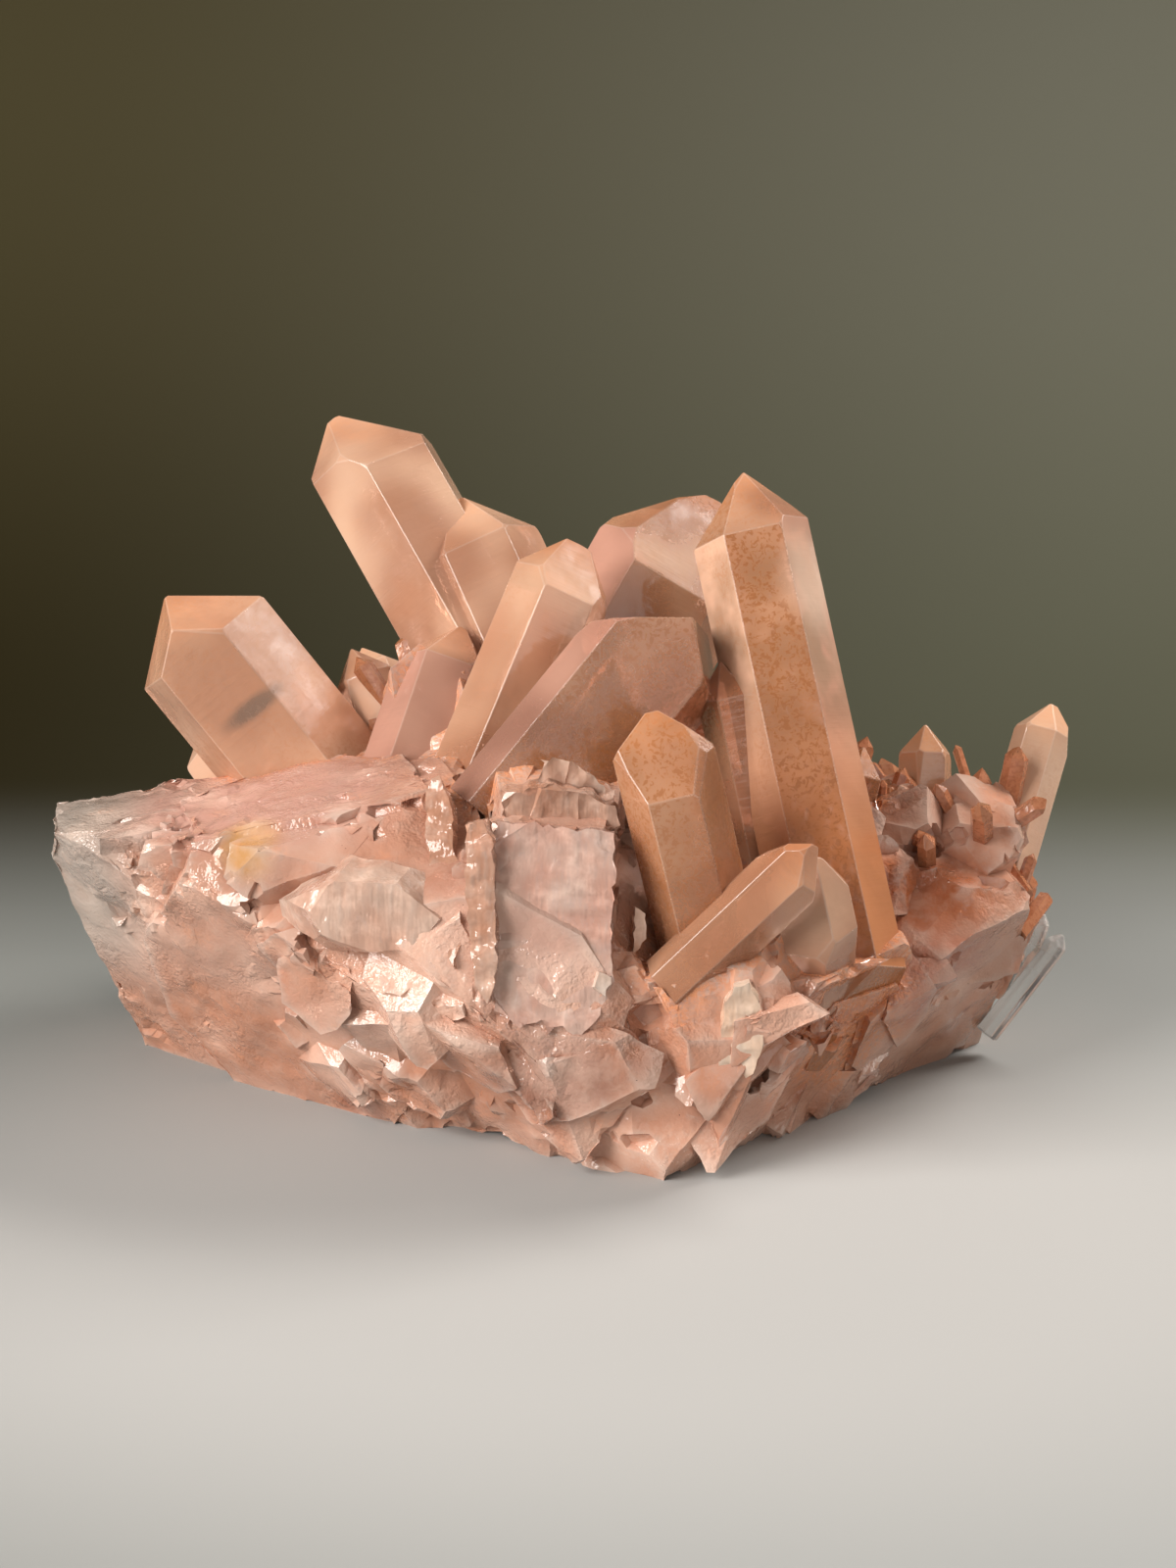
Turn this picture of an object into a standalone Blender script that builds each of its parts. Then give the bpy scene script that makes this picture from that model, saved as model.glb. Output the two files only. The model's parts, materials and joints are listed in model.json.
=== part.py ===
"""Hematoid quartz cluster: iron-stained quartz points grown together on their own broken matrix.

The whole specimen grew as one piece, so it is one closed solid. Each point is a bar cut by its six
prism faces and six end faces. The matrix is a heap of broken, flat-faced lumps. Everything is joined
by one union, pitted by one difference and cut off flat where the specimen rests.
"""
import math
import random

import bmesh
import bpy
from mathutils import Vector

MM = 0.001
PIECE = "quartz_cluster"

# The angle between an end face's normal and the long axis is a constant of quartz, in degrees.
END_FACE_ANGLE = 51.8
# How far each point reaches on into the matrix past its visible foot, in mm.
ROOT = 5.0
# Side of the block that every shape is cut from, in mm.
STOCK = 300.0
# Moves the finished cluster so that its box is centred on the origin, in mm.
CENTRE_SHIFT = (2.7, -5.4)

# One entry for each point, in mm. foot and tip lie on its long axis, with X to the right, Y to the
# back and Z up from the rest. flats are the distances from the axis to the six prism faces, from the
# front face round to the right. turn is how far the front face is turned to the right, in degrees.
# rises lift each end face along the axis, so an uneven set gives a chisel or an off-centre tip.
POINTS = {
    "tall_right": dict(
        foot=(27.5, -20, 11.5), tip=(15.6, 0, 64.8), flats=(5.4, 5.2, 5.2, 5.4, 5.4, 5.4),
        turn=2, rises=(0.2, 0.8, 1.2, 0.6, 0, 0.2)),
    "tall_back_left": dict(
        foot=(-6, 11.5, 33), tip=(-27.5, 30, 67), flats=(6.6,) * 6,
        turn=-27, rises=(2, -0.6, 1.5, 2, 2, 3)),
    "beside_back_left": dict(
        foot=(-2, 9, 35), tip=(-14, 22, 59), flats=(5.4, 5.2, 5.6, 5.4, 5.2, 6.4),
        turn=6, rises=(0, 0, 0, 0, 1.5, 1.5)),
    "leaning_middle": dict(
        foot=(-11.5, -5, 33), tip=(-1, 5, 56.8), flats=(5, 5, 4.8, 5, 4.6, 4.8),
        turn=8, rises=(0, 1.5, 1.2, 0, 1.5, 1.5)),
    "broad_back": dict(
        foot=(-1.6, 12, 33), tip=(14.6, 24, 59.8), flats=(8, 8.4, 8, 8, 8, 8.2),
        turn=-2, rises=(-3.6, 1, 2, 2, 1, 0)),
    "small_front": dict(
        foot=(11.8, -24, 24), tip=(6.4, -26, 47), flats=(4.4, 4.1, 4, 4.4, 4.6, 4.6),
        turn=0, rises=(-3, -0.5, -0.5, 0.3, 0.8, 1.6)),
    "leaning_front": dict(
        foot=(11.5, -29, 22.5), tip=(22, -29.5, 33.2), flats=(3,) * 6,
        turn=-20, rises=(3, 1, 0, 0, 0, 2)),
    "broad_left": dict(
        foot=(-26.9, 5, 27.5), tip=(-45.3, 7, 50.8), flats=(7.2,) * 6,
        turn=0, rises=(7, 0, 0, 3, 0, 0), end=42),
    "small_back_left": dict(
        foot=(-21.5, 8, 34.5), tip=(-25.9, 12, 44), flats=(2.9,) * 6),
    "lilac_left": dict(
        foot=(-17.7, 2, 36.5), tip=(-14, 10, 46.8), flats=(4.5,) * 6, rises=(0, 1, 2, 1, 0, 0)),
    "right_upright": dict(
        foot=(36.6, 5.5, 22), tip=(36.9, 10, 36), flats=(2.6,) * 6, turn=10),
    "right_leaning": dict(
        foot=(44.4, 3.5, 18.5), tip=(51, 12, 37.9), flats=(2.8,) * 6,
        turn=-20, rises=(0, 0, 1, 1, 0, 0)),
    "clear_right_upper": dict(foot=(46.5, 3, 7), tip=(49.8, 4, 16.3), flats=(1,) * 6),
    "clear_right_lower": dict(foot=(46.8, 3.5, 6.5), tip=(52.1, 4, 13.9), flats=(1.2,) * 6),
    "broken_front": dict(
        foot=(22, -22, 17), tip=(22, -28, 33), flats=(4.2, 4, 4, 4, 4, 4), turn=-12,
        rises=(-5, -4, -1, 0, 0, -2)),
    "dark_behind_tall": dict(foot=(26, -2, 22), tip=(29.5, 2, 35.5), flats=(2.6,) * 6, turn=20),
    "stub_right_a": dict(foot=(32.5, 2, 20), tip=(32.5, 3, 31), flats=(2.2,) * 6, turn=15),
    "stub_right_b": dict(foot=(41, 4, 20), tip=(42, 5, 31.5), flats=(2.3,) * 6, turn=-10),
    "behind_small_front": dict(foot=(18, -10, 26), tip=(13.5, -8, 47), flats=(2.8,) * 6, turn=10),
    "back_a": dict(foot=(-18, 24, 22), tip=(-27, 40, 38), flats=(3.6,) * 6, turn=12),
    "back_b": dict(foot=(-2, 26, 24), tip=(-4, 42, 41), flats=(4.4,) * 6, turn=40,
                   rises=(0, 1, 0, 1.5, 0, 1)),
    "back_c": dict(foot=(10, 28, 22), tip=(17, 43, 35), flats=(3.4,) * 6, turn=5),
    "back_d": dict(foot=(24, 20, 18), tip=(31, 34, 26), flats=(3.8,) * 6, turn=25,
                   rises=(0, 1, 1, 0, 1, 0)),
    "back_e": dict(foot=(-34, 16, 20), tip=(-45, 29, 31), flats=(4,) * 6, turn=-15),
    "back_f": dict(foot=(2, 30, 14), tip=(3, 45, 20), flats=(2.6,) * 6, turn=30),
    "back_g": dict(foot=(-26, 26, 12), tip=(-32, 40, 17), flats=(2.8,) * 6),
}

# The flat crystal in the middle shows one broad front face, a narrow left face and a level top.
FLAT_CRYSTAL = dict(
    foot=(-6, -14, 35), tip=(14, -6, 58.2), flats=(4.5, 7.6, 9.6, 7, 5, 6.2), rises=(9,) * 6)
FLAT_CRYSTAL_TOP = dict(at=(6.5, -12, 52.2), facing=(-0.02, 0.35, 0.94))
FLAT_CRYSTAL_RIGHT = dict(at=(12.4, -10, 44.5), facing=(0.97, -0.1, 0.2))

# The matrix's main lumps, in mm: middle, half sizes, number of flat faces and the cuts that
# shape it. A cut is a place on the plane and the way that its outer side faces.
LEDGE_TOP = ((-28, -2, 35.6), (-0.2, -0.35, 1))
LEDGE_BACK = ((-28, -2, 35.6), (-0.2, 0.3, 1))
SHELF_TOP = ((17, -25, 21), (0.02, -0.12, 1))
LUMPS = {
    "core": dict(middle=(0, 5, 12), half=(42, 30, 23), faces=46),
    "left_block": dict(middle=(-40, 4, 20), half=(23, 19, 26), faces=22,
                       cuts=(LEDGE_TOP, LEDGE_BACK)),
    "left_front": dict(middle=(-27, -10, 17), half=(19, 16, 24), faces=22,
                       cuts=(LEDGE_TOP, LEDGE_BACK)),
    "front_belly": dict(middle=(-9, -14, 13), half=(24, 21, 23), faces=32),
    "centre_slab": dict(
        middle=(-3, -24, 25), half=(7.5, 10.5, 14), faces=10,
        cuts=(((-3, -27, 35), (0.05, -0.3, 1)), ((-3, -32.5, 22), (0.1, -1, 0.1)),
              ((2.5, -28, 26), (1, -0.15, 0.05)), ((-8.6, -28, 28), (-1, -0.2, -0.2)))),
    "slab_foot": dict(middle=(-6, -24, 14), half=(12, 9.5, 13), faces=14),
    "ledge_step": dict(middle=(-27, -15, 29), half=(9, 6, 3.5), faces=10),
    "glass_lump": dict(middle=(-24, -17, 18), half=(11.5, 12, 12.5), faces=18, cuts=(LEDGE_TOP,)),
    "pale_lump": dict(middle=(14.5, -29, 14), half=(3, 4.5, 6.5), faces=12),
    "right_front": dict(middle=(16, -17, 6), half=(21, 19, 24), faces=26, cuts=(SHELF_TOP,)),
    "right_block": dict(middle=(35, 3, 9), half=(19, 19, 19), faces=24),
    "right_window": dict(
        middle=(37, 4, 16), half=(12, 12, 10), faces=14, cuts=(((37, -7, 22), (-0.1, -0.85, 0.5)),)),
    "back_mass": dict(middle=(-5, 21, 13), half=(34, 18, 22), faces=36),
    "back_right": dict(middle=(24, 18, 9), half=(20, 16, 17), faces=28),
    "back_left": dict(middle=(-33, 15, 11), half=(17, 15, 17), faces=26),
    "crown": dict(middle=(-5, 3, 29), half=(22, 14, 11), faces=24),
}

# The faces that the whole matrix broke along, which hold in its outline. Every block ends at its
# own depth behind them, in mm.
OUTER_BREAKS = (
    ((-20, -18, 0), (-0.50, -0.70, -0.50)),
    ((26, -15, 0), (0.64, -0.62, -0.46)),
    ((-50, 5, 0), (-0.94, 0.0, -0.34)),
    ((-58, 0, 28), (-1.0, -0.1, 0.1)),
    ((46.5, 5, 5), (0.98, 0.0, -0.1)),
    ((0, -34.5, 8), (0.0, -1.0, 0.12)),
    ((0, 34, 0), (0.0, 0.8, -0.6)),
)
BREAK_DEPTH = (0.0, 3.0)
# How far a break's facing is tipped for a lump and for a fragment.
LUMP_TIP = 0.06
CUT_DEPTH = (0.0, 0.9)
CUT_TIP = 0.03
FRAGMENT_TIP = 0.30

# Broken fragments that stand out of the lumps, and pits where others came away.
FRAGMENTS_PER_LUMP = 13
FRAGMENT_HALF = (3.0, 7.5)
FRAGMENT_FACES = (9, 14)
PITS_PER_LUMP = 3
PIT_HALF = (2.0, 5.0)
# How far out on its lump a fragment or pit sits, as a share of the lump's half size.
SURFACE_SHARE = 0.93
# How unevenly far from the middle a broken face lies, as a share of the half size.
FACE_DEPTH = (0.84, 1.0)
GOLDEN_ANGLE = math.pi * (3 - math.sqrt(5))

STONE_COLOUR = (0.80, 0.50, 0.38, 1.0)
STONE_ROUGHNESS = 0.35


def clear_scene():
    for thing in list(bpy.data.objects):
        bpy.data.objects.remove(thing, do_unlink=True)


def new_collection(name):
    collection = bpy.data.collections.new(name)
    bpy.context.scene.collection.children.link(collection)
    return collection


def stock_block(middle):
    """A cube, far larger than the cluster, that is cut down to a convex shape."""
    bm = bmesh.new()
    bmesh.ops.create_cube(bm, size=STOCK)
    bmesh.ops.translate(bm, verts=bm.verts, vec=middle)
    return bm


def cut_away(bm, place, facing):
    """Takes off what lies past a plane, and closes the cut with one flat face."""
    everything = bm.verts[:] + bm.edges[:] + bm.faces[:]
    bmesh.ops.bisect_plane(
        bm, geom=everything, dist=1e-4, plane_co=place, plane_no=facing, clear_outer=True)
    rim = [edge for edge in bm.edges if edge.is_boundary]
    if rim:
        bmesh.ops.holes_fill(bm, edges=rim, sides=0)


def add_object(name, bm, collection):
    """Turns the finished shape into an object in metres."""
    bmesh.ops.scale(bm, verts=bm.verts, vec=(MM, MM, MM))
    bmesh.ops.recalc_face_normals(bm, faces=bm.faces)
    mesh = bpy.data.meshes.new(name)
    bm.to_mesh(mesh)
    bm.free()
    thing = bpy.data.objects.new(name, mesh)
    collection.objects.link(thing)
    return thing


def crystal(foot, tip, flats, turn=0, rises=(0,) * 6, end=END_FACE_ANGLE):
    """A quartz point: six prism faces round the axis and six end faces over them."""
    foot = Vector(foot)
    tip = Vector(tip)
    axis = (tip - foot).normalized()
    front = Vector((0, -1, 0))
    front = (front - axis * front.dot(axis)).normalized()
    side = axis.cross(-front).normalized()
    if side.x < 0:
        side = -side
    root = foot - axis * ROOT
    bm = stock_block(foot)
    for k in range(6):
        angle = math.radians(60 * k + turn)
        out = math.cos(angle) * front + math.sin(angle) * side
        cut_away(bm, foot + out * flats[k], out)
        end_facing = out * math.sin(math.radians(end)) + axis * math.cos(math.radians(end))
        cut_away(bm, tip + axis * rises[k], end_facing)
    cut_away(bm, root, -axis)
    return bm


def tipped(rng, facing, amount):
    """The same facing, tipped a little at random."""
    facing = Vector(facing).normalized()
    return (facing + Vector([rng.uniform(-amount, amount) for _ in range(3)])).normalized()


def broken_block(rng, middle, half, faces, cuts=(), tip=LUMP_TIP):
    """An uneven convex lump: flat faces lie round an ellipsoid, each at its own depth."""
    middle = Vector(middle)
    half = Vector(half)
    outer_breaks = []
    for place, facing in OUTER_BREAKS:
        facing = Vector(facing).normalized()
        nearest = middle - facing * (middle - Vector(place)).dot(facing)
        depth = facing * rng.uniform(*BREAK_DEPTH)
        outer_breaks.append((nearest - depth, tipped(rng, facing, tip)))
    bm = stock_block(middle)
    start = rng.uniform(0, 2 * math.pi)
    for k in range(faces):
        height = 1 - 2 * (k + 0.5) / faces
        angle = start + GOLDEN_ANGLE * k + rng.uniform(-0.35, 0.35)
        ring = math.sqrt(1 - height * height)
        way = Vector((ring * math.cos(angle), ring * math.sin(angle), height))
        depth = rng.uniform(*FACE_DEPTH)
        place = Vector((way.x * half.x, way.y * half.y, way.z * half.z)) * depth
        facing = Vector((way.x / half.x, way.y / half.y, way.z / half.z))
        cut_away(bm, middle + place, facing.normalized())
    for place, facing in cuts:
        depth = Vector(facing).normalized() * rng.uniform(*CUT_DEPTH)
        cut_away(bm, Vector(place) - depth, tipped(rng, facing, CUT_TIP))
    for place, facing in outer_breaks:
        cut_away(bm, place, facing)
    return bm


def scattered_blocks(rng, lump, count, half_range, face_range):
    """Small broken blocks, each sunk part way into the lump's own surface."""
    for _ in range(count):
        way = Vector((rng.gauss(0, 1), rng.gauss(0, 1), rng.gauss(0, 0.8))).normalized()
        at = Vector(lump["middle"])
        at += Vector([way[k] * lump["half"][k] * SURFACE_SHARE for k in range(3)])
        half = [rng.uniform(*half_range) for _ in range(3)]
        faces = rng.randint(*face_range)
        yield broken_block(rng, at, half, faces, lump.get("cuts", ()), FRAGMENT_TIP)


def stone_material():
    material = bpy.data.materials.new(PIECE)
    material.use_nodes = True
    shader = material.node_tree.nodes["Principled BSDF"]
    shader.inputs["Base Color"].default_value = STONE_COLOUR
    shader.inputs["Roughness"].default_value = STONE_ROUGHNESS
    shader.inputs["Metallic"].default_value = 0.0
    material.diffuse_color = STONE_COLOUR
    return material


def add_boolean(thing, name, operation, collection):
    modifier = thing.modifiers.new(name, "BOOLEAN")
    modifier.operation = operation
    modifier.operand_type = "COLLECTION"
    modifier.collection = collection
    modifier.solver = "EXACT"
    return modifier


def largest_shell(bm):
    """The faces of the largest connected surface."""
    left = set(bm.faces)
    best = set()
    while left:
        shell = set()
        reached = [left.pop()]
        while reached:
            face = reached.pop()
            shell.add(face)
            for edge in face.edges:
                for neighbour in edge.link_faces:
                    if neighbour in left:
                        left.remove(neighbour)
                        reached.append(neighbour)
        if len(shell) > len(best):
            best = shell
    return best


def settle(cluster):
    """Applies the booleans and keeps the one outer surface, without closed hollows or loose chips."""
    depsgraph = bpy.context.evaluated_depsgraph_get()
    mesh = bpy.data.meshes.new_from_object(cluster.evaluated_get(depsgraph))
    cluster.modifiers.clear()
    bm = bmesh.new()
    bm.from_mesh(mesh)
    keep = largest_shell(bm)
    bmesh.ops.delete(bm, geom=[face for face in bm.faces if face not in keep], context="FACES")
    bm.to_mesh(mesh)
    bm.free()
    mesh.name = PIECE
    cluster.data = mesh


def remove_helpers(collection):
    for thing in list(collection.objects):
        bpy.data.objects.remove(thing, do_unlink=True)
    bpy.data.collections.remove(collection)


def build():
    clear_scene()
    specimen = new_collection("Hematoid quartz")
    joined = new_collection("Joined shapes")
    taken_away = new_collection("Pits and rest")

    first = True
    cluster = None
    for number, (name, lump) in enumerate(LUMPS.items()):
        rng = random.Random(100 + number)
        bm = broken_block(rng, **lump)
        if first:
            cluster = add_object(PIECE, bm, specimen)
            first = False
        else:
            add_object("lump_" + name, bm, joined)
        fragments = scattered_blocks(rng, lump, FRAGMENTS_PER_LUMP, FRAGMENT_HALF, FRAGMENT_FACES)
        for k, fragment in enumerate(fragments):
            add_object(f"fragment_{name}_{k}", fragment, joined)
        pits = scattered_blocks(rng, lump, PITS_PER_LUMP, PIT_HALF, FRAGMENT_FACES)
        for k, pit in enumerate(pits):
            add_object(f"pit_{name}_{k}", pit, taken_away)

    for name, point in POINTS.items():
        add_object("point_" + name, crystal(**point), joined)
    flat = crystal(**FLAT_CRYSTAL)
    for cut in (FLAT_CRYSTAL_TOP, FLAT_CRYSTAL_RIGHT):
        cut_away(flat, cut["at"], Vector(cut["facing"]).normalized())
    add_object("point_flat_middle", flat, joined)

    below = bmesh.new()
    bmesh.ops.create_cube(below, size=STOCK)
    bmesh.ops.translate(below, verts=below.verts, vec=(0, 0, -STOCK / 2))
    add_object("rest_cut", below, taken_away)

    add_boolean(cluster, "Join lumps and points", "UNION", joined)
    add_boolean(cluster, "Pits and flat rest", "DIFFERENCE", taken_away)
    settle(cluster)
    cluster.data.materials.clear()
    cluster.data.materials.append(stone_material())
    cluster.location = (CENTRE_SHIFT[0] * MM, CENTRE_SHIFT[1] * MM, 0)
    remove_helpers(joined)
    remove_helpers(taken_away)


build()
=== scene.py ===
import json
import math
import random

import bmesh
import bpy
import numpy as np
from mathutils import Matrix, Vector, noise

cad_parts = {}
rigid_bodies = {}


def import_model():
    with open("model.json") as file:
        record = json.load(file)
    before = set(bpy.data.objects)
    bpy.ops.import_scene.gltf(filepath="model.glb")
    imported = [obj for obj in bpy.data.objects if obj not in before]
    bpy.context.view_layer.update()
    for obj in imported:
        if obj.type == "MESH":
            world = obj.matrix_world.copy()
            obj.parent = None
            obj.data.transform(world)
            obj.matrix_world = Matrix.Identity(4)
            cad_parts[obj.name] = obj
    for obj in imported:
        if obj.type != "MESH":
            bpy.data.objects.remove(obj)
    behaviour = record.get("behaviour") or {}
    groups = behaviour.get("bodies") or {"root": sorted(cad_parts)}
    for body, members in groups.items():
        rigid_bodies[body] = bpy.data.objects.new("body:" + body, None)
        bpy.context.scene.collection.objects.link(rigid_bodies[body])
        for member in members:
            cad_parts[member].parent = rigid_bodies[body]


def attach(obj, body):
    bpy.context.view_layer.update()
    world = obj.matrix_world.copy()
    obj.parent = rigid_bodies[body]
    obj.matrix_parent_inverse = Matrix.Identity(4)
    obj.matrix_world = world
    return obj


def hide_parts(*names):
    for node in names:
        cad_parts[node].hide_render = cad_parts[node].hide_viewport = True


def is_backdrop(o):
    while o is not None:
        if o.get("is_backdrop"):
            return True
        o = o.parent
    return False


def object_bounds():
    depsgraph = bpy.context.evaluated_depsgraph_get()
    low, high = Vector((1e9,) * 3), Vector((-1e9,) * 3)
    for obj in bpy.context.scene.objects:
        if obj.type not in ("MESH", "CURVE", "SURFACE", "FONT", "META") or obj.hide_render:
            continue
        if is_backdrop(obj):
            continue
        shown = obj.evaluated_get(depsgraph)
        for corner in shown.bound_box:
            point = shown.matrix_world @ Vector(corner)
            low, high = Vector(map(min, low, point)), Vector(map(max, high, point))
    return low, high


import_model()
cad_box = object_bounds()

# The camera stands in front and looks 15 degrees down, about 0.3 m from the middle of the cluster,
# with a short telephoto lens held upright.
MM = 0.001
LOOKS_AT = Vector((2.7, -5.4, 31.8)) * MM
LOOKS_DOWN = math.radians(15)
CAMERA_DISTANCE = 301 * MM

camera_data = bpy.data.cameras.new("camera")
camera_data.lens = 65
camera_data.sensor_width = 36
camera_data.clip_start = 0.01
camera_data.clip_end = 20
camera = bpy.data.objects.new("camera", camera_data)
bpy.context.scene.collection.objects.link(camera)
line_of_sight = Vector((0, math.cos(LOOKS_DOWN), -math.sin(LOOKS_DOWN)))
camera.location = LOOKS_AT - line_of_sight * CAMERA_DISTANCE
camera.rotation_euler = (math.pi / 2 - LOOKS_DOWN, 0, 0)
bpy.context.scene.camera = camera


# Floor and backdrop: one matt sheet, pale where the cluster rests. It sweeps up behind it into a dull olive
# grey.
# Both carry painted light and shade: darker to the left and lighter to the right, and the wall darkest low
# down and lighter higher up.
class Tone:
    """A value or colour inside a material. Arithmetic on one adds the nodes that work it out."""

    def __init__(self, socket):
        self.socket = socket

    def node(self, kind, settings, values, output=0):
        """Adds a node beside this one: its settings first, then its values, linked where they are tones."""
        tree = self.socket.id_data
        made = tree.nodes.new(kind)
        for key, value in settings.items():
            setattr(made, key, value)
        for key, value in values.items():
            if isinstance(value, Tone):
                tree.links.new(value.socket, made.inputs[key])
            else:
                made.inputs[key].default_value = value
        return Tone(made.outputs[output])

    def sum(self, operation, *values):
        return self.node("ShaderNodeMath", {"operation": operation}, dict(enumerate((self, *values))))

    def __add__(self, other):
        return self.sum("ADD", other)

    __radd__ = __add__

    def __mul__(self, other):
        return self.sum("MULTIPLY", other)

    __rmul__ = __mul__

    def __sub__(self, other):
        return self.sum("SUBTRACT", other)

    def __rsub__(self, other):
        return self.node("ShaderNodeMath", {"operation": "SUBTRACT"}, {0: other, 1: self})

    def __abs__(self):
        return self.sum("ABSOLUTE")

    def most(self, other):
        return self.sum("MAXIMUM", other)

    def least(self, other):
        return self.sum("MINIMUM", other)

    def between(self, low, high):
        """0 up to low, 1 from high on, and a soft step in between."""
        values = {"Value": self, "From Min": low, "From Max": high}
        return self.node("ShaderNodeMapRange", {"interpolation_type": "SMOOTHSTEP"}, values)

    def mix(self, first, second):
        """The first colour where this is 0 and the second where it is 1."""
        colours = [c if isinstance(c, Tone) else (*c, 1) for c in (first, second)]
        values = {0: self, 6: colours[0], 7: colours[1]}
        return self.node("ShaderNodeMix", {"data_type": "RGBA"}, values, 2)

    def along(self, operation, other, output=0):
        return self.node("ShaderNodeVectorMath", {"operation": operation}, {0: self, 1: other}, output)

    def part(self, axis):
        return self.node("ShaderNodeSeparateXYZ", {}, {0: self}, "XYZ".index(axis))

    def noise(self, scale, detail=3.0, rough=0.55, bend=0.0):
        values = {"Vector": self, "Scale": scale, "Detail": detail, "Roughness": rough, "Distortion": bend}
        return self.node("ShaderNodeTexNoise", {}, values)


def new_material(name):
    """A material with its shader, and the Object coordinates in mm that its pattern is laid out in."""
    material = bpy.data.materials.new(name)
    material.use_nodes = True
    shader = material.node_tree.nodes["Principled BSDF"]
    start = Tone(shader.outputs[0])
    place = start.node("ShaderNodeTexCoord", {}, {}, 3)
    place = place.node("ShaderNodeVectorMath", {"operation": "SCALE"}, {0: place, "Scale": 1 / MM})
    return material, shader, place


def feed(shader, **tones):
    """Links tones to the shader's sockets, named with underscores for spaces."""
    for name, tone in tones.items():
        shader.id_data.links.new(tone.socket, shader.inputs[name.replace("_", " ")])


SWEEP_WIDTH = 3.0
SWEEP_FRONT = -1.4
SWEEP_BACK = 0.11
SWEEP_RADIUS = 0.16
SWEEP_TOP = 1.1
SWEEP_STEPS = 24

profile = [(SWEEP_FRONT, 0), (SWEEP_BACK, 0)]
for step in range(1, SWEEP_STEPS + 1):
    angle = math.radians(90) * step / SWEEP_STEPS
    profile.append((SWEEP_BACK + SWEEP_RADIUS * math.sin(angle), SWEEP_RADIUS * (1 - math.cos(angle))))
profile.append((SWEEP_BACK + SWEEP_RADIUS, SWEEP_TOP))
sheet = bmesh.new()
left_side = [sheet.verts.new((-SWEEP_WIDTH / 2, y, z)) for y, z in profile]
line = [sheet.edges.new(pair) for pair in zip(left_side, left_side[1:])]
swept = bmesh.ops.extrude_edge_only(sheet, edges=line)["geom"]
far_side = [v for v in swept if isinstance(v, bmesh.types.BMVert)]
bmesh.ops.translate(sheet, verts=far_side, vec=(SWEEP_WIDTH, 0, 0))
for face in sheet.faces:
    face.smooth = True
sweep_mesh = bpy.data.meshes.new("floor")
sheet.to_mesh(sweep_mesh)
sheet.free()
floor = bpy.data.objects.new("floor", sweep_mesh)
bpy.context.scene.collection.objects.link(floor)
floor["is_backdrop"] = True

FLOOR_NEAR = (0.37, 0.37, 0.36)
FLOOR_PAINTED_SHADE_LEFT = (0.19, 0.20, 0.19)
FLOOR_PAINTED_LIGHT_RIGHT = (0.275, 0.29, 0.285)
WALL_PAINTED_SHADE_LEFT = (0.012, 0.009, 0.002)
WALL_PAINTED_LIGHT_RIGHT = (0.056, 0.058, 0.040)
HIGH_WALL_PAINTED_SHADE_LEFT = (0.038, 0.032, 0.014)
HIGH_WALL_PAINTED_LIGHT_RIGHT = (0.080, 0.080, 0.061)
# The floor is palest round this place, in mm, and fades out at these half sizes.
PALE_AT = (5, -55, 0)
PALE_HALF = (150, 85, 400)
material, shader, place = new_material("matt backdrop with painted light and shade")
# Painted light and shade: floor and wall go from darker on the left to lighter on the right, and the wall
# gets lighter higher up.
depth = place.part("Y") + place.part("Z") * 1.2
across = place.part("X").between(-120, 120)
wall = across.mix(WALL_PAINTED_SHADE_LEFT, WALL_PAINTED_LIGHT_RIGHT)
wall = depth.between(140, 400).mix(wall, across.mix(HIGH_WALL_PAINTED_SHADE_LEFT, HIGH_WALL_PAINTED_LIGHT_RIGHT))
ground = place.part("X").between(-80, 80).mix(FLOOR_PAINTED_SHADE_LEFT, FLOOR_PAINTED_LIGHT_RIGHT)
offset = place.along("SUBTRACT", PALE_AT).along("DIVIDE", PALE_HALF)
ground = offset.along("LENGTH", (0, 0, 0), 1).between(0.3, 1.0).mix(FLOOR_NEAR, ground)
colour = depth.between(0, 118).mix(ground, wall)
feed(shader, Base_Color=colour)
shader.inputs["Roughness"].default_value = 0.9
shader.inputs["Specular IOR Level"].default_value = 0.1
floor.data.materials.append(material)


# Broken matrix: the mass of milky quartz that the points grew from, broken on all sides and flat
# underneath. Its flat-faced lumps and fragments are fused, pitted, and chipped by finer breaks.
CENTRE_SHIFT = Vector((2.7, -5.4, 0))
STOCK = 300.0
LEDGE_TOP = ((-39.2, -3.1, 32.6), (-0.19, -0.065, 1))
LEDGE_FRONT = ((-29.8, -22.1, 33.4), (0.05, -0.6, 0.8))
LEDGE_BACK = ((-28, -2, 35.6), (-0.2, 0.3, 1))
SHELF_TOP = ((17, -25, 21), (0.02, -0.12, 1))
SLAB_BACK = ((-3.8, -27.0, 35.3), (0, -1, 0.22))
RIGHT_BREAK = ((35.6, -9.8, 23.8), (0.15, -0.78, 0.60))
RIGHT_BREAK_LOW = ((36.2, -15.2, 17), (0.42, -0.88, 0.22))
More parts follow.
